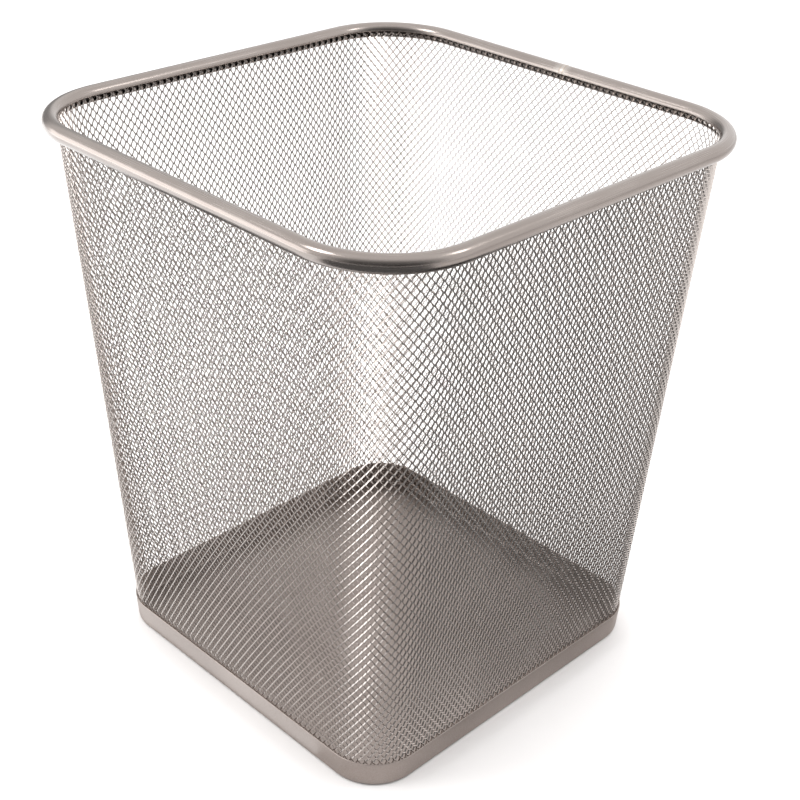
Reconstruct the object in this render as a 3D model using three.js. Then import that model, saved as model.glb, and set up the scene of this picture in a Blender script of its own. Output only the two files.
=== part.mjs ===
// Square tapered wastebasket: an expanded steel mesh wall, a rolled channel rim with its
// welded butt joint, and a pressed base pan.
//
// Millimetres, +Z up. The origin is the middle of the underside, and the four sides face
// +X, +Y, -X and -Y.

import * as THREE from 'three';

// Driving dimensions.
const HEIGHT = 330;              // underside of the pan to the top of the rim
const RIM_WIDTH = 290;           // across the outside of the rim, from side to side
const RIM_DIAMETER = 9.2;        // outside of the rolled channel
const RIM_SHEET = 0.6;           // gauge of the channel's strip
const RIM_CORNER_RADIUS = 50;    // corner of the channel's centreline, seen from above
const RIM_LIP_ANGLE = 54;        // degrees below level at which the channel's lower lip ends
const JOINT_X = 3;               // where the channel's two ends meet, on the +Y side
const WELD_LENGTH = 2;           // of the bead between the two ends
const BASE_WIDTH = 232.2;        // across the outside of the pan's skirt, at the floor
const BASE_CORNER_RADIUS = 29.2; // corner of the skirt's outside, at the floor
const PAN_SHEET = 0.8;           // gauge of the pan
const PAN_BEND_RADIUS = 2;       // outside of the bend between the pan's floor and its skirt
const SKIRT_HEIGHT = 16;
const WALL_DEPTH = 0.9;          // of the mesh sheet, from strand to strand
const WALL_INSET = 3.1;          // channel's centreline to the wall's outer face, under the rim
const WALL_RISE = 0.3;           // of the wall's top edge above the channel's centreline
const GAP = 0.3;                 // clearance between neighbouring pieces

// Fineness of the rounded stretches.
const CORNER_STEPS = 12;         // to each quarter turn in plan
const CHANNEL_STEPS = 17;        // round the channel's section, 18 degrees each
const BEND_STEPS = 4;            // round the pan's bend

// Sizes that follow from them.
const RIM_RADIUS = RIM_DIAMETER / 2;
const RIM_HALF = RIM_WIDTH / 2 - RIM_RADIUS;
const RIM_Z = HEIGHT - RIM_RADIUS;
const JOINT_GAP = WELD_LENGTH + 2 * GAP;
const SKIRT_INSET = PAN_SHEET + GAP;
const WALL_BOTTOM = PAN_BEND_RADIUS;
const WALL_TOP = RIM_Z + WALL_RISE;
const UNDER_RIM = HEIGHT - RIM_DIAMETER;

// A plan outline is a square with rounded corners: half its width, and its corner radius.
// Offsetting one outwards adds the same amount to both.
function offset(plan, distance) {
  return { half: plan.half + distance, radius: plan.radius + distance };
}

const rimPlan = { half: RIM_HALF, radius: RIM_CORNER_RADIUS };
const wallFootPlan = offset({ half: BASE_WIDTH / 2, radius: BASE_CORNER_RADIUS }, -SKIRT_INSET);
const wallHeadPlan = offset(rimPlan, -WALL_INSET);

// The wall's outer face at height z. It tapers evenly from the floor to the rim.
function wallPlan(z) {
  const share = z / UNDER_RIM;
  return {
    half: THREE.MathUtils.lerp(wallFootPlan.half, wallHeadPlan.half, share),
    radius: THREE.MathUtils.lerp(wallFootPlan.radius, wallHeadPlan.radius, share),
  };
}

// One rounded corner of a plan, as points at height z. Corner 0 is the (+X, +Y) corner, and
// the others follow it anticlockwise.
function cornerPoints(plan, z, corner) {
  const axis = new THREE.Vector3(0, 0, 1);
  const quarter = Math.PI / 2;
  const centre = plan.half - plan.radius;
  const points = [];
  for (let step = 0; step <= CORNER_STEPS; step += 1) {
    const angle = quarter * step / CORNER_STEPS;
    const x = centre + plan.radius * Math.cos(angle);
    const y = centre + plan.radius * Math.sin(angle);
    points.push(new THREE.Vector3(x, y, z).applyAxisAngle(axis, quarter * corner));
  }
  return points;
}

// The whole outline of a plan, as a ring of points at height z.
function outlineRing(plan, z) {
  return [0, 1, 2, 3].flatMap((corner) => cornerPoints(plan, z, corner));
}

// A closed body through a list of rings, each with the same number of points. With cap
// triangles, the first and last rings are closed by them; with none, the last ring joins the
// first again.
function skinRings(rings, capTriangles) {
  const count = rings[0].length;
  const positions = rings.flat().flatMap((point) => point.toArray());
  const triangles = [];
  const spans = capTriangles ? rings.length - 1 : rings.length;
  for (let row = 0; row < spans; row += 1) {
    const here = row * count;
    const above = ((row + 1) % rings.length) * count;
    for (let column = 0; column < count; column += 1) {
      const next = (column + 1) % count;
      triangles.push(here + column, here + next, above + next);
      triangles.push(here + column, above + next, above + column);
    }
  }
  if (capTriangles) {
    const last = (rings.length - 1) * count;
    for (const [a, b, c] of capTriangles) {
      triangles.push(a, c, b);
      triangles.push(last + a, last + b, last + c);
    }
  }
  const geometry = new THREE.BufferGeometry();
  geometry.setAttribute('position', new THREE.Float32BufferAttribute(positions, 3));
  geometry.setIndex(triangles);
  geometry.computeVertexNormals();
  return geometry;
}

// Triangles that fill a ring, from the same ring drawn flat.
function fill(flatRing) {
  return THREE.ShapeUtils.triangulateShape(flatRing, []);
}

// The wall: one thin tapered sheet, open at the top and at the bottom.
function meshWall() {
  const levels = [WALL_BOTTOM, WALL_TOP];
  const outer = levels.map((z) => outlineRing(wallPlan(z), z));
  const inner = levels.map((z) => outlineRing(offset(wallPlan(z), -WALL_DEPTH), z));
  return skinRings([outer[0], outer[1], inner[1], inner[0]], null);
}

// The pan: a flat floor, a bend all round it, and a skirt that leans with the wall.
function basePan() {
  const skirt = (z) => offset(wallPlan(z), SKIRT_INSET);
  const bendCentre = offset(skirt(PAN_BEND_RADIUS), -PAN_BEND_RADIUS);
  const bend = (radius, step) => {
    const angle = (Math.PI / 2) * step / BEND_STEPS;
    const plan = offset(bendCentre, radius * Math.sin(angle));
    return outlineRing(plan, PAN_BEND_RADIUS - radius * Math.cos(angle));
  };
  const rings = [];
  for (let step = 0; step <= BEND_STEPS; step += 1) {
    rings.push(bend(PAN_BEND_RADIUS, step));
  }
  rings.push(outlineRing(skirt(SKIRT_HEIGHT), SKIRT_HEIGHT));
  rings.push(outlineRing(offset(skirt(SKIRT_HEIGHT), -PAN_SHEET), SKIRT_HEIGHT));
  for (let step = BEND_STEPS; step >= 0; step -= 1) {
    rings.push(bend(PAN_BEND_RADIUS - PAN_SHEET, step));
  }
  const floor = rings[0].map((point) => new THREE.Vector2(point.x, point.y));
  return skinRings(rings, fill(floor));
}

// The channel's section: a tube with a slot in its inner lower side, where the wall goes in.
// x is the distance inwards from the centreline and y is the height above it. The angle is
// taken from straight inwards, over the top.
function channelSection() {
  const end = THREE.MathUtils.degToRad(360 - RIM_LIP_ANGLE);
  const arc = (radius) => {
    const points = [];
    for (let step = 0; step <= CHANNEL_STEPS; step += 1) {
      const angle = end * step / CHANNEL_STEPS;
      points.push(new THREE.Vector2(radius * Math.cos(angle), radius * Math.sin(angle)));
    }
    return points;
  };
  return [...arc(RIM_RADIUS), ...arc(RIM_RADIUS - RIM_SHEET).reverse()];
}

// The channel's section swept along stations. A station turns a distance inwards from the
// rim's centreline into a point in plan.
function sweepChannel(stations) {
  const section = channelSection();
  const rings = stations.map((station) => section.map(({ x, y }) => {
    const place = station(x);
    return new THREE.Vector3(place.x, place.y, RIM_Z + y);
  }));
  return skinRings(rings, fill(section));
}

// A station on the straight +Y side.
function sideStation(x) {
  return (inwards) => new THREE.Vector2(x, RIM_HALF - inwards);
}

// A station at one step of a rounded corner.
function cornerStation(corner, step) {
  return (inwards) => {
    const point = cornerPoints(offset(rimPlan, -inwards), 0, corner)[step];
    return new THREE.Vector2(point.x, point.y);
  };
}

// The rim goes once round the mouth, from one side of its joint to the other.
function rimChannel() {
  const stations = [sideStation(JOINT_X - JOINT_GAP / 2)];
  for (const corner of [1, 2, 3, 0]) {
    for (let step = 0; step <= CORNER_STEPS; step += 1) {
      stations.push(cornerStation(corner, step));
    }
  }
  stations.push(sideStation(JOINT_X + JOINT_GAP / 2));
  return sweepChannel(stations);
}

// The bead is ground flush, so it has the channel's own section.
function rimJointWeld() {
  return sweepChannel([
    sideStation(JOINT_X + WELD_LENGTH / 2),
    sideStation(JOINT_X - WELD_LENGTH / 2),
  ]);
}

// Finishes.
const meshSteel = { color: 0xa79f99, roughness: 0.42, metalness: 0.9 };
const rimSteel = { color: 0xb9b2ac, roughness: 0.28, metalness: 1 };
const panSteel = { color: 0xb0a8a2, roughness: 0.38, metalness: 0.9 };
const weldSteel = { color: 0xcfc9c4, roughness: 0.35, metalness: 1 };

function piece(name, geometry, finish) {
  const mesh = new THREE.Mesh(geometry, new THREE.MeshStandardMaterial(finish));
  mesh.name = name;
  return mesh;
}

const wastebasket = new THREE.Group();
wastebasket.add(piece('mesh_wall', meshWall(), meshSteel));
wastebasket.add(piece('rim_channel', rimChannel(), rimSteel));
wastebasket.add(piece('rim_joint_weld', rimJointWeld(), weldSteel));
wastebasket.add(piece('base_pan', basePan(), panSteel));

export default wastebasket;
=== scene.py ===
"""Looks of a square, tapered, open-topped wastebasket of expanded steel mesh.

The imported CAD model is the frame. Every piece here stands for one of its nodes: the mesh wall
with its real diamond openings, the rolled rim, the weld that closes it, and the pressed pan.
Everything is in metres, +Z up, with the origin in the middle of the underside.
"""

import math

import bpy
import numpy as np
from mathutils import Matrix, Vector


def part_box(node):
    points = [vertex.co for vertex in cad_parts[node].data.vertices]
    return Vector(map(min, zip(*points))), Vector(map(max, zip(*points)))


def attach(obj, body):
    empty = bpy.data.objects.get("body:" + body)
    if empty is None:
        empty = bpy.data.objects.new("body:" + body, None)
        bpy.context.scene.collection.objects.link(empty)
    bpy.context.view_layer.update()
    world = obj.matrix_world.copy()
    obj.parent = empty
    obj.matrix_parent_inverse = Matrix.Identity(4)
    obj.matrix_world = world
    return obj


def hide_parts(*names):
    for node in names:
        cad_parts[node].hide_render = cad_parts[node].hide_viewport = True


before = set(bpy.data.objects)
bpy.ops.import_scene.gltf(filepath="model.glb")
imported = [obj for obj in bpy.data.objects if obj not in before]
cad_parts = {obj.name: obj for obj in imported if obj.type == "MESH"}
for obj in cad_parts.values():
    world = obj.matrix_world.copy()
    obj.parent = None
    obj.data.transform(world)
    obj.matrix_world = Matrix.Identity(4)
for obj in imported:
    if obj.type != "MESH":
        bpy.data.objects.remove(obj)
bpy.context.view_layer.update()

# ---------------------------------------------------------------------------------------------
# Sizes. Heights and widths come from the CAD boxes; plan corners and gauges repeat the CAD's.
# ---------------------------------------------------------------------------------------------
RIM_LOW, RIM_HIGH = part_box("rim_channel")
_, PAN_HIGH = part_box("base_pan")
WALL_LOW, WALL_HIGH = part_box("mesh_wall")
WELD_LOW, WELD_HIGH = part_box("rim_joint_weld")

GAP = 0.0003                   # clearance between neighbouring pieces

RIM_RADIUS = (RIM_HIGH.z - RIM_LOW.z) / 2
RIM_HALF = RIM_HIGH.x - RIM_RADIUS
RIM_Z = RIM_HIGH.z - RIM_RADIUS
RIM_CORNER_RADIUS = 0.050      # of the channel's centreline, seen from above
RIM_SHEET = 0.0006
RIM_LIP_ANGLE = math.radians(54)    # below level, where the channel's lower lip ends
JOINT_X = (WELD_LOW.x + WELD_HIGH.x) / 2
JOINT_LENGTH = WELD_HIGH.x - WELD_LOW.x + 2 * GAP

PAN_SHEET = 0.0008
PAN_BEND_RADIUS = 0.002        # outside of the bend between the pan's floor and its skirt
PAN_CORNER_RADIUS = 0.0292     # of the skirt's outside, at the floor
SKIRT_HEIGHT = PAN_HIGH.z

UNDER_RIM = RIM_LOW.z
WALL_INSET = 0.0031            # rim's centreline to the wall's outer face, under the rim
WALL_DEPTH = 0.0009            # of the mesh sheet, from strand to strand
FOOT_CORNER_RADIUS = PAN_CORNER_RADIUS - PAN_SHEET - GAP
HEAD_HALF = RIM_HALF - WALL_INSET
HEAD_CORNER_RADIUS = RIM_CORNER_RADIUS - WALL_INSET
SKIRT_WALL_HALF = PAN_HIGH.x - PAN_SHEET - GAP
LEAN = (HEAD_HALF - SKIRT_WALL_HALF) / (UNDER_RIM - SKIRT_HEIGHT)
FOOT_HALF = HEAD_HALF - LEAN * UNDER_RIM

QUARTER = math.pi / 2


# ---------------------------------------------------------------------------------------------
# Plan outlines: a square with rounded corners, walked anticlockwise from the middle of +X.
# ---------------------------------------------------------------------------------------------
def outline(share, half, radius, outwards=0.0):
    """Points x, y at a share of the way round, offset outwards."""
    flat = half - radius
    quarter_length = 2 * flat + QUARTER * radius
    turn = np.floor(4 * share + 0.5)
    along = (4 * share - turn) * quarter_length
    past = np.maximum(np.abs(along) - flat, 0)
    angle = np.sign(along) * past / radius
    local_x = flat + (radius + outwards) * np.cos(angle)
    local_y = np.clip(along, -flat, flat) + (radius + outwards) * np.sin(angle)
    cos_turn = np.cos(turn * QUARTER)
    sin_turn = np.sin(turn * QUARTER)
    x = local_x * cos_turn - local_y * sin_turn
    y = local_x * sin_turn + local_y * cos_turn
    return x, y


def wall_half(z):
    """Half the width of the wall's outer face at height z."""
    return FOOT_HALF + LEAN * z


def wall_radius(z):
    """Corner radius of the wall's outer face at height z."""
    share = z / UNDER_RIM
    return FOOT_CORNER_RADIUS + (HEAD_CORNER_RADIUS - FOOT_CORNER_RADIUS) * share


def wall_girth(z):
    """Distance round the wall at height z."""
    return 8 * (wall_half(z) - wall_radius(z)) + 4 * QUARTER * wall_radius(z)


# ---------------------------------------------------------------------------------------------
# Objects
# ---------------------------------------------------------------------------------------------
def linked(name, data):
    """A new object for a mesh, a light or a camera, linked into the scene."""
    made = bpy.data.objects.new(name, data)
    bpy.context.scene.collection.objects.link(made)
    return made


def new_object(name, points, quads):
    """A smooth mesh object from arrays of points and four-sided faces."""
    mesh = bpy.data.meshes.new(name)
    mesh.vertices.add(len(points))
    mesh.vertices.foreach_set("co", np.asarray(points, np.float32).ravel())
    mesh.loops.add(len(quads) * 4)
    mesh.loops.foreach_set("vertex_index", np.asarray(quads, np.int32).ravel())
    mesh.polygons.add(len(quads))
    mesh.polygons.foreach_set("loop_start", np.arange(0, len(quads) * 4, 4, dtype=np.int32))
    mesh.polygons.foreach_set("use_smooth", np.full(len(quads), True))
    mesh.update(calc_edges=True)
    mesh.validate()
    return linked(name, mesh)


def ring_quads(rings, count):
    """Faces between neighbouring rings of points, each ring closed and with the same count."""
    ring, column = np.meshgrid(np.arange(rings - 1), np.arange(count), indexing="ij")
    here = ring * count
    above = here + count
    following = (column + 1) % count
    quads = [here + column, here + following, above + following, above + column]
    return np.stack(quads, -1).reshape(-1, 4)


# ---------------------------------------------------------------------------------------------
# The mesh wall. Expanded sheet is a row of upright strips, each bent left and right in turn to
# meet its two neighbours. The strips keep one louvre-like tilt all the way round.
# ---------------------------------------------------------------------------------------------
DIAMONDS_ROUND = 216
STRIPS = 2 * DIAMONDS_ROUND
STRAND_LENGTH = 0.00372        # from one bond to the next, along a strand
STRAND_GAUGE = 0.00036
LIMB_FULLNESS = 1.15           # a bent limb is a little thicker than its section, cut level
BOND_SHARE = 0.050             # half the height of a bond, as a share of a diamond's height
EASE_SHARE = 0.16              # of a limb's height, where it leaves the bond
EASE_SHIFT = 0.125             # of a limb's sideways run, made by then
CORNERS = ((-1, 1), (-1, -1), (1, -1), (1, 1))   # of a strip's section: across it, through it
FOOT_Z = WALL_LOW.z - 0.0006   # where the lowest row of diamonds starts
HEAD_Z = WALL_HIGH.z + 0.0008  # where the top row ends, inside the rim
WALL_PIECES = 8

# The sheet's top edge is folded outwards, inside the rim. The fold is one limb high.
HEM_FOOT = RIM_Z - 0.0026
HEM_PITCH = 0.0058             # height of a diamond in the fold
HEM_PIECES = 2

# Width of a strand, the tilt of its section, and how far its sheet lies out from the wall.
SHEET = {"width": 0.00080, "tilt": math.radians(38), "outwards": 0.0}
HEM = {"width": 0.00105, "tilt": math.radians(-30), "outwards": 0.0012}


def diamond_rows():
    """Heights where the rows of diamonds start and end, from the foot to inside the rim."""
    heights = [FOOT_Z]
    while heights[-1] < HEAD_Z:
        pitch = wall_girth(heights[-1]) / DIAMONDS_ROUND
        heights.append(heights[-1] + 2 * math.sqrt(STRAND_LENGTH ** 2 - (pitch / 2) ** 2))
    stretch = (HEAD_Z - FOOT_Z) / (heights[-1] - FOOT_Z)
    return [FOOT_Z + (z - FOOT_Z) * stretch for z in heights]


def limb_pattern(start, sense):
    """Four sections along one limb: share of a diamond's height, and swing from -1 to 1."""
    ease = EASE_SHARE * (0.5 - 2 * BOND_SHARE)
    eased = 1 - 2 * EASE_SHIFT
    return [
        (start + BOND_SHARE, sense),
        (start + BOND_SHARE + ease, sense * eased),
        (start + 0.5 - BOND_SHARE - ease, -sense * eased),
        (start + 0.5 - BOND_SHARE, -sense),
    ]


def strip_stations():
    """Heights of the sections along a strip, and how far it has swung there, from -1 to 1."""
    pattern = limb_pattern(0.0, 1) + limb_pattern(0.5, -1)
    rows = diamond_rows()
    heights = []
    swings = []
    for low, high in zip(rows[:-1], rows[1:]):
        for share, swung in pattern:
            heights.append(low + (high - low) * share)
            swings.append(swung)
    return np.array(heights), np.array(swings, float)


def hem_stations():
    """The same for the folded edge, which is one limb high with a bond at each end."""
    pattern = [(-BOND_SHARE, 1)] + limb_pattern(0.0, 1) + [(0.5 + BOND_SHARE, -1)]
    heights = [HEM_FOOT + HEM_PITCH * share for share, _ in pattern]
    swings = [swung for _, swung in pattern]
    return np.array(heights), np.array(swings, float)


def strip_points(first, last, heights, swings, layer):
    """Section corners of strips first to last-1: an array of strip, station, corner, xyz."""
    strip = np.arange(first, last)
    sense = np.where(strip % 2 == 0, 1.0, -1.0)
    swing = sense[:, None] * swings[None, :]
    girth = wall_girth(heights)
    pitch = girth / DIAMONDS_ROUND
    limb = np.abs(swings) < 1
    gauge = STRAND_GAUGE * np.where(limb, LIMB_FULLNESS, 1.0)
    across = math.cos(layer["tilt"])
    through = math.sin(layer["tilt"])
    edge = layer["width"] / 2
    reach = pitch / 4 - edge * across
    # u runs round the wall from the strip's own line, and n outwards from the sheet's middle.
    centre_u = swing * reach[None, :]
    centre_n = -swing * edge * through
    points = np.empty((len(strip), len(heights), len(CORNERS), 3))
    for number, (side, face) in enumerate(CORNERS):
        offset_u = side * edge * across - face * gauge / 2 * through
        offset_n = side * edge * through + face * gauge / 2 * across
        along = centre_u + offset_u[None, :]
        outwards = centre_n + offset_n[None, :] - WALL_DEPTH / 2 + layer["outwards"]
        share = (strip[:, None] + 0.5) / STRIPS + along / girth[None, :]
        half = wall_half(heights)[None, :]
        radius = wall_radius(heights)[None, :]
        x, y = outline(share, half, radius, outwards)
        points[:, :, number, 0] = x
        points[:, :, number, 1] = y
        points[:, :, number, 2] = heights[None, :] - outwards * LEAN
    return points


def mesh_piece(name, first, last, sections, layer):
    """One welded stretch of the mesh sheet, strips first to last-1."""
    heights, swings = sections
    points = strip_points(first, last, heights, swings, layer)
    strips, stations, corners, _ = points.shape
    ids = np.arange(strips * stations * corners).reshape(strips, stations, corners)
    sense = np.where(np.arange(first, last) % 2 == 0, 1.0, -1.0)
    swing = sense[:, None] * swings[None, :]
    # At a bond, the corners on a strip's right are its neighbour's corners on the left.
    joined_right = swing[:-1] == 1
    for mine, theirs in ((3, 0), (2, 1)):
        ids[:-1, :, mine] = np.where(joined_right, ids[1:, :, theirs], ids[:-1, :, mine])
    # Faces along the strips. Inside a bond none are wanted between the two strips it joins,
    # but the piece's first and last strips are closed all the way up.
    low = ids[:, :-1]
    high = ids[:, 1:]
    bonded = swing[:, :-1] == swing[:, 1:]
    right_open = ~(bonded & (swing[:, 1:] == 1))
    left_open = ~(bonded & (swing[:, 1:] == -1))
    right_open[-1] = True
    left_open[0] = True
    sides = ((0, 3, None), (3, 2, right_open), (2, 1, None), (1, 0, left_open))
    quads = []
    for a, b, shown in sides:
        side = np.stack([low[..., a], low[..., b], high[..., b], high[..., a]], -1)
        quads.append(side.reshape(-1, 4) if shown is None else side[shown])
    quads.append(ids[:, 0, [0, 1, 2, 3]])
    quads.append(ids[:, -1, [3, 2, 1, 0]])
    quads = np.concatenate(quads)
    used, quads = np.unique(quads, return_inverse=True)
    flat_points = points.reshape(-1, 3)[used]
    made = new_object(name, flat_points, quads.reshape(-1, 4))
    mark_strand_edges(made.data, (used // corners) % stations)
    return made


def mark_strand_edges(mesh, station):
    """Strands bend smoothly along their length and keep crisp edges across it."""
    ends = np.empty(len(mesh.edges) * 2, np.int32)
    mesh.edges.foreach_get("vertices", ends)
    ends = ends.reshape(-1, 2)
    sharp = station[ends[:, 0]] != station[ends[:, 1]]
    mark = mesh.attributes.new("sharp_edge", "BOOLEAN", "EDGE")
    mark.data.foreach_set("value", sharp)


def make_mesh(name, count, sections, layer):
    """The sheet all the way round, in a few pieces that carry on from each other."""
    bounds = [round(STRIPS * number / count) for number in range(count + 1)]
    pieces = []
    for number, (first, last) in enumerate(zip(bounds[:-1], bounds[1:])):
        pieces.append(mesh_piece(f"{name}_{number + 1}", first, last, sections, layer))
    return pieces


# ---------------------------------------------------------------------------------------------
# The rim: a rolled tube with a slot in its inner lower side.
# ---------------------------------------------------------------------------------------------
CHANNEL_STEPS = 60             # round the outside, and again round the inside
LIP_STEPS = 6                  # round each raw edge of the channel's strip, an even number
RIM_SIDE_STEPS = 6             # along each straight side
RIM_CORNER_STEPS = 30          # round each corner, seen from above

# The rim's length along its centreline, and the joint's place as a share of the way round.
RIM_GIRTH = 8 * (RIM_HALF - RIM_CORNER_RADIUS) + 4 * QUARTER * RIM_CORNER_RADIUS
JOINT_SHARE = 0.25 - JOINT_X / RIM_GIRTH
JOINT_STEPS = np.linspace(0.0005, 0.008, 8)    # closer sections, this far from the rim's ends
WELD_CROWN = 0.00013
WELD_OVERLAP = 0.0004          # of the bead, over each of the rim's ends
WELD_SECTIONS = 25
WELD_RIPPLES = 5
WELD_RIPPLE_DEPTH = 0.25       # as a share of the crown


def arc(centre, radius, start, end, steps):
    """Points along an arc of the channel's section: distance inwards, and distance up."""
    angle = np.linspace(start, end, steps)
    inwards = centre[0] + radius * np.cos(angle)
    upwards = centre[1] + radius * np.sin(angle)
    return np.stack([inwards, upwards], -1)


def channel_section():
    """Points round the section, from the middle of the upper raw edge, outside first."""
    middle = RIM_RADIUS - RIM_SHEET / 2
    edge = RIM_SHEET / 2
    start = edge / middle
    end = 2 * math.pi - RIM_LIP_ANGLE - start
    upper = (middle * math.cos(start), middle * math.sin(start))
    lower = (middle * math.cos(end), middle * math.sin(end))
    section = np.concatenate([
        arc((0, 0), RIM_RADIUS, start, end, CHANNEL_STEPS),
        arc(lower, edge, end, end + math.pi, LIP_STEPS)[1:-1],
        arc((0, 0), RIM_RADIUS - RIM_SHEET, end, start, CHANNEL_STEPS),
        arc(upper, edge, start + math.pi, start + 2 * math.pi, LIP_STEPS)[1:-1],
    ])
    return np.roll(section, LIP_STEPS // 2 - 1, axis=0)


def plan_shares(half, radius, side_steps, corner_steps):
    """Shares of the way round a plan at which it has a section, closer in the corners."""
    flat = half - radius
    side = flat / (2 * flat + QUARTER * radius) / 4
    corner = 0.25 - 2 * side
    shares = []
    for turn in range(4):
        shares += list(turn / 4 - side + 2 * side * np.arange(side_steps) / side_steps)
        shares += list(turn / 4 + side + corner * np.arange(corner_steps) / corner_steps)
    return np.array(shares)


def lay_run(made, section, shares):
    """Keep each point's distance along the rim, round it and from its joint, for textures."""
    steps = np.linalg.norm(np.diff(section, axis=0), axis=1)
    from_joint = shares - JOINT_SHARE
    run = np.zeros((len(shares), len(section), 3))
    run[:, :, 0] = (shares * RIM_GIRTH)[:, None]
    run[:, :, 1] = np.concatenate([[0], np.cumsum(steps)])[None, :]
    run[:, :, 2] = (np.abs(from_joint - np.round(from_joint)) * RIM_GIRTH)[:, None]
    places = made.data.attributes.new("run", "FLOAT_VECTOR", "POINT")
    places.data.foreach_set("vector", run.astype(np.float32).ravel())


def sweep_channel(name, shares, crown):
    """The section at each share of the way round, swelled by the crown, closed at both ends."""
    section = channel_section()
    count = len(section)
    scale = 1 + crown[:, None] / RIM_RADIUS
    inwards = section[None, :, 0] * scale
    upwards = section[None, :, 1] * scale
    x, y = outline(shares[:, None], RIM_HALF, RIM_CORNER_RADIUS, -inwards)
    points = np.stack([x, y, RIM_Z + upwards], -1).reshape(-1, 3)
    # Each end is closed by a ladder of faces between the section's outside and its inside.
    row = np.arange(count // 2 - 1)
    ladder = np.stack([row, row + 1, count - 2 - row, count - 1 - row], -1)
    far_end = (len(shares) - 1) * count
    skin = ring_quads(len(shares), count)
    made = new_object(name, points, np.concatenate([skin, ladder[:, ::-1], ladder + far_end]))
    lay_run(made, section, shares)
    return made


def make_rim():
    """The rim goes once round the mouth, from one side of its joint to the other."""
    clear = JOINT_LENGTH / 2 / RIM_GIRTH
    start = JOINT_SHARE + clear
    finish = JOINT_SHARE + 1 - clear
    shares = plan_shares(RIM_HALF, RIM_CORNER_RADIUS, RIM_SIDE_STEPS, RIM_CORNER_STEPS)
    closer = JOINT_STEPS / RIM_GIRTH
    shares = np.concatenate([shares, start + closer, finish - closer])
    shares = np.sort(np.where(shares < start, shares + 1, shares))
    shares = np.concatenate([[start], shares[(shares > start) & (shares < finish)], [finish]])
    return sweep_channel("rim_tube", shares, np.zeros(len(shares)))


def make_weld():
    """The bead closes the rim. It stands a hair proud and still shows its ripples."""
    across = np.linspace(-1, 1, WELD_SECTIONS)
    shares = JOINT_SHARE + across * (JOINT_LENGTH / 2 + WELD_OVERLAP) / RIM_GIRTH
    ripple = 1 + WELD_RIPPLE_DEPTH * np.cos(across * WELD_RIPPLES * math.pi)
    return sweep_channel("rim_weld_bead", shares, WELD_CROWN * (1 - across ** 2) * ripple)


# ---------------------------------------------------------------------------------------------
# The pan
# ---------------------------------------------------------------------------------------------
BEND_STEPS = 8                 # round the bend between the floor and the skirt
SKIRT_EDGE_STEPS = 6           # round the skirt's top edge
PAN_SIDE_STEPS = 8             # along each straight side
PAN_CORNER_STEPS = 24          # round each corner, seen from above


def pan_profile():
    """Half width, corner radius and height round the pan's section, from the middle below."""
    skirt_half = wall_half(PAN_BEND_RADIUS) + GAP + PAN_SHEET
    skirt_radius = wall_radius(PAN_BEND_RADIUS) + GAP + PAN_SHEET
    edge = PAN_SHEET / 2

    def bend_row(radius, step):
        """The row at one step round a bend, at a radius from the bend's centre."""
        angle = QUARTER * step / BEND_STEPS
        shift = radius * math.sin(angle) - PAN_BEND_RADIUS
        z = PAN_BEND_RADIUS - radius * math.cos(angle)
        return skirt_half + shift, skirt_radius + shift, z

    def edge_row(step):
        """The row at one step over the skirt's rounded edge, from its outside."""
        angle = math.pi * step / SKIRT_EDGE_STEPS
        shift = GAP + edge + edge * math.cos(angle)
        z = SKIRT_HEIGHT - edge + edge * math.sin(angle)
        return wall_half(z) + shift, wall_radius(z) + shift, z

    below = [bend_row(PAN_BEND_RADIUS, step) for step in range(BEND_STEPS + 1)]
    top = [edge_row(step) for step in range(SKIRT_EDGE_STEPS + 1)]
    above = [bend_row(PAN_BEND_RADIUS - PAN_SHEET, step) for step in range(BEND_STEPS, -1, -1)]
    return below + top + above


def make_pan():
    """The pan's section all the way round, with its floor's two flat faces."""
    shares = plan_shares(wall_half(0), wall_radius(0), PAN_SIDE_STEPS, PAN_CORNER_STEPS)
    count = len(shares)
    rings = []
    for half, radius, z in pan_profile():
        x, y = outline(shares, half, radius)
        rings.append(np.stack([x, y, np.full(count, z)], -1))
    last = (len(rings) - 1) * count
    faces = ring_quads(len(rings), count).tolist()
    faces.append(list(range(count - 1, -1, -1)))
    faces.append(list(range(last, last + count)))
    mesh = bpy.data.meshes.new("pan")
    mesh.from_pydata(np.concatenate(rings).tolist(), [], faces)
    mesh.update()
    for polygon in mesh.polygons:
        polygon.use_smooth = len(polygon.vertices) == 4
    return linked("pan", mesh)


# ---------------------------------------------------------------------------------------------
# Materials
# ---------------------------------------------------------------------------------------------
def node(tree, kind, values=None, links=None, **settings):
    """A new node with its settings, its socket values, and the sockets that feed it."""
    made = tree.nodes.new(kind)
    for name, setting in settings.items():
        setattr(made, name, setting)
    for socket, value in (values or {}).items():
        made.inputs[socket].default_value = value
    for socket, source in (links or {}).items():
        tree.links.new(source, made.inputs[socket])
    return made


def steel(name, colour, roughness):
    """A bare steel, its tree and its shader. Details linked in later replace the plain values."""
    material = bpy.data.materials.new(name)
    material.use_nodes = True
    shader = material.node_tree.nodes["Principled BSDF"]
    shader.inputs["Base Color"].default_value = (*colour, 1)
    shader.inputs["Metallic"].default_value = 1.0
    shader.inputs["Roughness"].default_value = roughness
    return material, material.node_tree, shader


def noise(tree, place, per_metre, detail=3.0, stretch=(1, 1, 1)):
    """Noise with so many features to a metre, stretched along the axes as told."""
    mapping = node(tree, "ShaderNodeMapping", {"Scale": stretch}, {"Vector": place})
    texture = node(tree, "ShaderNodeTexNoise", {"Scale": per_metre, "Detail": detail},
                   {"Vector": mapping.outputs["Vector"]})
    return texture.outputs["Fac"]


def spread(tree, value, low, high, to_low, to_high):
    """The stretch of a value from low to high, mapped onto another range."""
    values = {"From Min": low, "From Max": high, "To Min": to_low, "To Max": to_high}
    return node(tree, "ShaderNodeMapRange", values, {"Value": value}).outputs["Result"]


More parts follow.
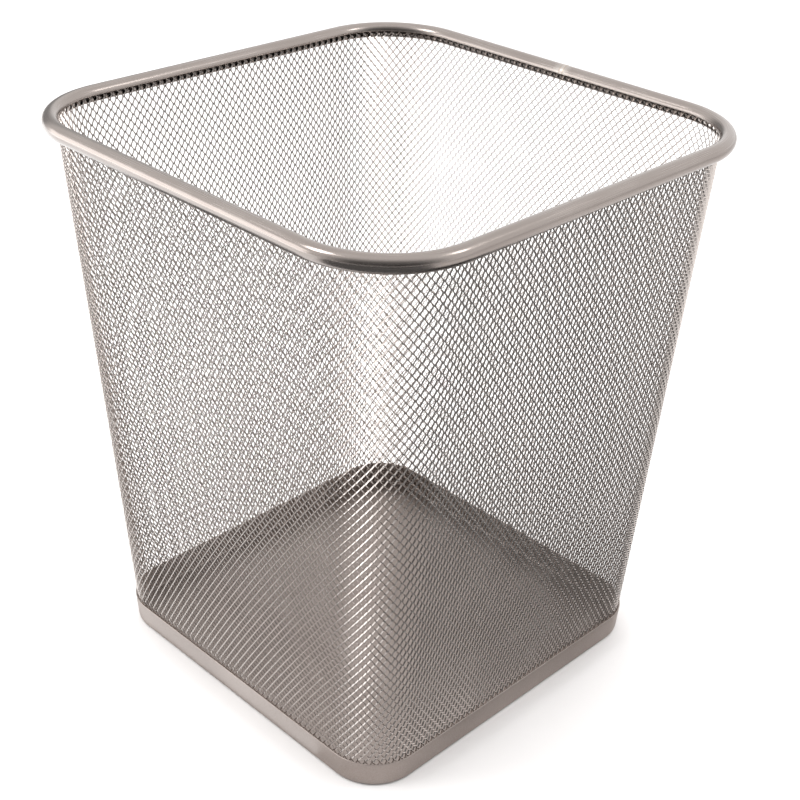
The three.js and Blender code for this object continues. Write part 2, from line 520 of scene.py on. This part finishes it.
def combine(tree, operation, first, second):
    """Arithmetic on two values, either of which may be a plain number."""
    made = node(tree, "ShaderNodeMath", operation=operation)
    for number, part in enumerate((first, second)):
        if isinstance(part, (int, float)):
            made.inputs[number].default_value = part
        else:
            tree.links.new(part, made.inputs[number])
    return made.outputs["Value"]


def blend(tree, share, first, second):
    """A colour between two others. Either may be a plain colour or a socket."""
    made = node(tree, "ShaderNodeMix", {}, {0: share}, data_type="RGBA")
    # Sockets 6 and 7 are the two colours that it mixes.
    for number, part in ((6, first), (7, second)):
        if isinstance(part, tuple):
            made.inputs[number].default_value = (*part, 1)
        else:
            tree.links.new(part, made.inputs[number])
    return made.outputs[2]


def bump(tree, shader, height, depth):
    """Let a value from 0 to 1 raise the surface by as much as the depth."""
    relief = node(tree, "ShaderNodeBump", {"Strength": 1.0, "Distance": depth},
                  {"Height": height})
    tree.links.new(relief.outputs["Normal"], shader.inputs["Normal"])


def object_place(tree):
    """Where a point is on the basket, in metres."""
    return node(tree, "ShaderNodeTexCoord").outputs["Object"]


def run_place(tree):
    """Where a point is along the rim and round it, and its distance from the joint as Z."""
    return node(tree, "ShaderNodeAttribute", attribute_name="run").outputs["Vector"]


def make_mesh_steel():
    """Bright sheet, slit and stretched: a faint drawn grain, and duller in places."""
    material, tree, shader = steel("mesh_steel", (0.56, 0.51, 0.48), 0.24)
    place = object_place(tree)
    drawn = noise(tree, place, 2600, 2.0, (1, 1, 0.22))
    dull = noise(tree, place, 38, 3.0)
    grain = spread(tree, drawn, 0.3, 0.7, -0.05, 0.05)
    worn = spread(tree, dull, 0.35, 0.7, 0.20, 0.29)
    tree.links.new(combine(tree, "ADD", grain, worn), shader.inputs["Roughness"])
    bump(tree, shader, drawn, 0.000018)
    return material


def make_rim_steel():
    """Rolled strip: streaks along its length, roll marks, fine scratches, the joint dressed."""
    material, tree, shader = steel("rim_steel", (0.30, 0.265, 0.245), 0.25)
    place = run_place(tree)
    streaks = noise(tree, place, 2200, 3.0, (0.02, 1, 0))
    clouds = noise(tree, place, 45, 3.0, (0.5, 1, 0))
    pitting = noise(tree, place, 1500, 4.0, (0.55, 1, 0))
    scratch = noise(tree, place, 420, 1.0, (0.10, 1.6, 0))
    from_joint = node(tree, "ShaderNodeSeparateXYZ", links={0: place}).outputs["Z"]
    dressed = spread(tree, from_joint, 0.0015, 0.0065, 1.0, 0.0)

    tone = combine(tree, "ADD", combine(tree, "MULTIPLY", streaks, 0.45),
                   combine(tree, "MULTIPLY", clouds, 0.55))
    share = spread(tree, tone, 0.34, 0.66, 0.0, 1.0)
    rolled = blend(tree, share, (0.255, 0.222, 0.204), (0.300, 0.266, 0.247))
    tree.links.new(blend(tree, dressed, rolled, (0.40, 0.365, 0.34)), shader.inputs["Base Color"])

    sheen = spread(tree, streaks, 0.32, 0.68, 0.20, 0.28)
    cloudy = spread(tree, clouds, 0.3, 0.7, -0.03, 0.04)
    ground = combine(tree, "MULTIPLY", dressed, 0.09)
    gloss = combine(tree, "ADD", combine(tree, "ADD", sheen, cloudy), ground)
    tree.links.new(gloss, shader.inputs["Roughness"])

    nicked = spread(tree, scratch, 0.70, 0.74, 0.0, -0.8)
    relief = combine(tree, "ADD", combine(tree, "ADD", pitting, streaks), nicked)
    bump(tree, shader, relief, 0.000012)
    return material


def make_weld_steel():
    """The bead: brighter ground metal, rippled, with a straw heat tint at its edges."""
    material, tree, shader = steel("weld_steel", (0.42, 0.38, 0.35), 0.35)
    place = run_place(tree)
    ripples = noise(tree, place, 1400, 3.0, (1.3, 0.35, 0))
    from_joint = node(tree, "ShaderNodeSeparateXYZ", links={0: place}).outputs["Z"]
    tinted = spread(tree, from_joint, 0.0006, 0.0017, 0.0, 1.0)
    ground = blend(tree, spread(tree, ripples, 0.35, 0.65, 0.0, 1.0),
                   (0.39, 0.355, 0.33), (0.50, 0.46, 0.43))
    tree.links.new(blend(tree, tinted, ground, (0.34, 0.27, 0.215)), shader.inputs["Base Color"])
    tree.links.new(spread(tree, ripples, 0.3, 0.7, 0.28, 0.44), shader.inputs["Roughness"])
    bump(tree, shader, ripples, 0.00006)
    return material


def make_pan_steel():
    """Satin sheet: an even speckle, faint drawing lines, scuffs and a few scratches."""
    material, tree, shader = steel("pan_steel", (0.34, 0.29, 0.265), 0.42)
    place = object_place(tree)
    speckle = noise(tree, place, 1500, 4.0)
    clouds = noise(tree, place, 14, 4.0)
    drawn = noise(tree, place, 900, 2.0, (1, 1, 0.06))
    scratch = noise(tree, place, 170, 1.5, (0.12, 2.2, 1))
    cross_scratch = noise(tree, place, 150, 1.5, (2.4, 0.15, 1))

    tone = combine(tree, "ADD", combine(tree, "MULTIPLY", speckle, 0.55),
                   combine(tree, "MULTIPLY", clouds, 0.45))
    share = spread(tree, tone, 0.36, 0.64, 0.0, 1.0)
    tree.links.new(blend(tree, share, (0.275, 0.233, 0.212), (0.41, 0.357, 0.33)),
                   shader.inputs["Base Color"])

    satin = spread(tree, speckle, 0.3, 0.7, 0.39, 0.57)
    scuffed = spread(tree, clouds, 0.35, 0.7, -0.04, 0.06)
    tree.links.new(combine(tree, "ADD", satin, scuffed), shader.inputs["Roughness"])

    nicks = combine(tree, "MAXIMUM", scratch, cross_scratch)
    nicked = spread(tree, nicks, 0.72, 0.76, 0.0, -0.7)
    lines = combine(tree, "MULTIPLY", drawn, 0.6)
    relief = combine(tree, "ADD", combine(tree, "ADD", speckle, lines), nicked)
    bump(tree, shader, relief, 0.00006)
    return material


# ---------------------------------------------------------------------------------------------
# Assembly
# ---------------------------------------------------------------------------------------------
def fit_out(piece, cad_node, material):
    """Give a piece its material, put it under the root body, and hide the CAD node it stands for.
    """
    piece.data.materials.append(material)
    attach(piece, "root")
    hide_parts(cad_node)


mesh_steel = make_mesh_steel()
for piece in make_mesh("mesh_wall", WALL_PIECES, strip_stations(), SHEET):
    fit_out(piece, "mesh_wall", mesh_steel)
for piece in make_mesh("mesh_hem", HEM_PIECES, hem_stations(), HEM):
    fit_out(piece, "mesh_wall", mesh_steel)
fit_out(make_rim(), "rim_channel", make_rim_steel())
fit_out(make_weld(), "rim_joint_weld", make_weld_steel())
fit_out(make_pan(), "base_pan", make_pan_steel())

# ---------------------------------------------------------------------------------------------
# Floor, light and camera
# ---------------------------------------------------------------------------------------------
CAMERA_AZIMUTH = math.radians(44.5)
CAMERA_ELEVATION = math.radians(29.95)
CAMERA_ROLL = math.radians(1.81)
CAMERA_DISTANCE = 0.8617
CAMERA_SLIDE = (0.0099, 0.0234)     # right and up, from looking straight at the aim
CAMERA_AIM = Vector((0, 0, 0.130))
CAMERA_LENS = 65.16
SENSOR_WIDTH = 36

FLOOR_SIZE = 12
FLOOR_DROP = 0.0003                 # keeps the floor out of the plane of the pan's underside
CARD_HEIGHT = 0.001                 # above the underside, so just clear of the floor
LIGHTS_AIM = Vector((0, 0, 0.25))


def make_camera():
    """The camera looks at its aim, then slides sideways and up, and rolls."""
    back = Vector((
        math.sin(CAMERA_AZIMUTH) * math.cos(CAMERA_ELEVATION),
        -math.cos(CAMERA_AZIMUTH) * math.cos(CAMERA_ELEVATION),
        math.sin(CAMERA_ELEVATION),
    ))
    right = Vector((0, 0, 1)).cross(back).normalized()
    up = back.cross(right)
    camera = linked("camera", bpy.data.cameras.new("camera"))
    camera.data.lens = CAMERA_LENS
    camera.data.sensor_width = SENSOR_WIDTH
    camera.location = (CAMERA_AIM + right * CAMERA_SLIDE[0] + up * CAMERA_SLIDE[1]
                       + back * CAMERA_DISTANCE)
    turned_right = right * math.cos(CAMERA_ROLL) + up * math.sin(CAMERA_ROLL)
    turned_up = up * math.cos(CAMERA_ROLL) - right * math.sin(CAMERA_ROLL)
    axes = Matrix((turned_right, turned_up, back)).transposed()
    camera.rotation_euler = axes.to_euler()
    bpy.context.scene.camera = camera


def make_floor():
    """A wide white floor without a shine."""
    bpy.ops.mesh.primitive_plane_add(size=FLOOR_SIZE, location=(0, 0, -FLOOR_DROP))
    floor = bpy.context.object
    floor.name = "floor"
    material = bpy.data.materials.new("floor")
    material.use_nodes = True
    shader = material.node_tree.nodes["Principled BSDF"]
    shader.inputs["Base Color"].default_value = (0.82, 0.805, 0.80, 1)
    shader.inputs["Roughness"].default_value = 0.9
    shader.inputs["Specular IOR Level"].default_value = 0.0
    floor.data.materials.append(material)


def area_light(name, place, aim, width, height, power):
    """A lit rectangle at a place, facing its aim."""
    light = bpy.data.lights.new(name, "AREA")
    light.shape = "RECTANGLE"
    light.size = width
    light.size_y = height
    light.energy = power
    made = linked(name, light)
    made.location = place
    made.rotation_euler = (Vector(aim) - Vector(place)).to_track_quat("-Z", "Y").to_euler()
    return made


def heading(azimuth, elevation):
    """A direction at an azimuth from +X and an elevation, both in degrees."""
    turned = math.radians(azimuth)
    raised = math.radians(elevation)
    level = math.cos(raised)
    return Vector((math.cos(turned) * level, math.sin(turned) * level, math.sin(raised)))


def patch(tree, place, centre, edge, core, outside, inside):
    """A node whose result changes softly between two angles, in degrees from the centre."""
    facing = node(tree, "ShaderNodeVectorMath", {1: centre}, {0: place}, operation="DOT_PRODUCT")
    values = {
        "From Min": math.cos(math.radians(edge)),
        "From Max": math.cos(math.radians(core)),
        "To Min": outside,
        "To Max": inside,
    }
    return node(tree, "ShaderNodeMapRange", values, {"Value": facing.outputs["Value"]},
                interpolation_type="SMOOTHSTEP")


def make_world():
    """A white studio with two darker parts, which the camera itself sees as plain white.

    One is the room on the camera's side, darkest near the floor. The other is small and lies
    low on the far left.
    """
    world = bpy.data.worlds.new("studio")
    world.use_nodes = True
    tree = world.node_tree
    background = tree.nodes["Background"]
    background.inputs["Color"].default_value = (1.0, 1.0, 1.0, 1)
    place = node(tree, "ShaderNodeTexCoord").outputs["Generated"]
    height = node(tree, "ShaderNodeSeparateXYZ", links={0: place}).outputs["Z"]
    low = math.sin(math.radians(15))
    high = math.sin(math.radians(75))
    ceiling = spread(tree, height, low, high, 0.12, 0.62)
    room = patch(tree, place, heading(-43, 12), 66, 26, 1.5, 0.0)
    tree.links.new(ceiling, room.inputs["To Max"])
    far_side = patch(tree, place, heading(162, 4), 30, 12, 1.0, 0.3)
    strength = combine(tree, "MULTIPLY", room.outputs["Result"], far_side.outputs["Result"])
    # The mix's socket 3 is for rays from the camera, and its socket 2 for all others.
    seen = node(tree, "ShaderNodeMix", {3: 1.0}, {2: strength})
    path = node(tree, "ShaderNodeLightPath")
    tree.links.new(path.outputs["Is Camera Ray"], seen.inputs[0])
    tree.links.new(seen.outputs[0], background.inputs["Strength"])
    bpy.context.scene.world = world
    bpy.context.scene.view_settings.view_transform = "Standard"


def from_object(azimuth, elevation, distance):
    """A place that far away in that direction, as seen from where the lights are aimed."""
    return LIGHTS_AIM + heading(azimuth, elevation) * distance


def floor_card(name, outline_points, colour, glow):
    """A card lying on the floor that shows only in reflections: painted light or painted shade of
    the floor there. It glows, though it is no lamp.
    """
    points = [(x, y, CARD_HEIGHT) for x, y in outline_points]
    mesh = bpy.data.meshes.new(name)
    mesh.from_pydata(points, [], [tuple(range(len(points)))])
    card = linked(name, mesh)
    material = bpy.data.materials.new(name)
    material.use_nodes = True
    shader = material.node_tree.nodes["Principled BSDF"]
    shader.inputs["Base Color"].default_value = (*colour, 1)
    shader.inputs["Roughness"].default_value = 1.0
    shader.inputs["Specular IOR Level"].default_value = 0.0
    shader.inputs["Emission Color"].default_value = (0.95, 0.98, 1.0, 1)
    shader.inputs["Emission Strength"].default_value = glow
    mesh.materials.append(material)
    card.visible_camera = False
    card.visible_diffuse = False
    card.visible_shadow = False
    card.visible_transmission = False


make_camera()
make_floor()

# Painted shade, seen only in reflections: a dark card for the unlit floor on the side nearest the
# camera.
floor_card("front_painted_shade", [
    (0.06, -0.17), (-0.02, -0.26), (-0.35, -2.4), (2.6, -2.4), (2.6, -0.25), (0.40, -0.05),
    (0.15, -0.05), (0.15, -0.12), (0.12, -0.15),
], (0.03, 0.03, 0.03), 0.18)

# Painted shadow, seen only in reflections: a dark card for the basket's shadow on the floor
# beside the +X face.
floor_card("side_painted_shadow", [
    (0.135, -0.05), (0.40, -0.05), (0.40, 0.25), (0.135, 0.25),
], (0.0, 0.0, 0.0), 0.10)

# Painted shade, seen only in reflections: a dark card for the shaded floor beside the -X face.
floor_card("left_painted_shade", [
    (-0.145, 0.1), (-0.145, -0.14), (-0.165, -0.205), (-0.28, -0.34), (-0.42, -0.33),
    (-0.42, 0.1),
], (0.05, 0.05, 0.05), 0.12)

# Painted light, seen only in reflections: a glowing card, no lamp, for the brightly lit floor
# past the (-X, -Y) corner.
floor_card("corner_painted_light", [
    (-0.04, -0.24), (-0.19, -0.24), (-0.28, -0.34), (-0.42, -0.33), (-0.42, -0.05), (-3.0, 0.2),
    (-3.0, -1.8), (-0.5, -2.4),
], (0.1, 0.1, 0.1), 2.2)

# Painted light, seen only in reflections: a glowing card, no lamp, for the lit floor close along
# the foot of the -Y face.
floor_card("skirt_painted_light", [
    (0.07, -0.118), (-0.118, -0.118), (-0.165, -0.205), (-0.19, -0.24), (-0.04, -0.24),
    (0.06, -0.14),
], (0.1, 0.1, 0.1), 1.6)

make_world()
area_light("key", from_object(-116, 47, 1.3), LIGHTS_AIM, 0.36, 0.36, 4.6)
area_light("panel", from_object(-137, 6, 1.6), LIGHTS_AIM, 1.3, 0.8, 7.0)
area_light("fill", from_object(37, 46, 1.3), LIGHTS_AIM, 0.25, 0.25, 1.6)
floor_light = area_light("floor_light", (-0.3, 0.2, 1.6), (-0.3, 0.2, 0), 2.0, 2.0, 17)
floor_light.visible_glossy = False
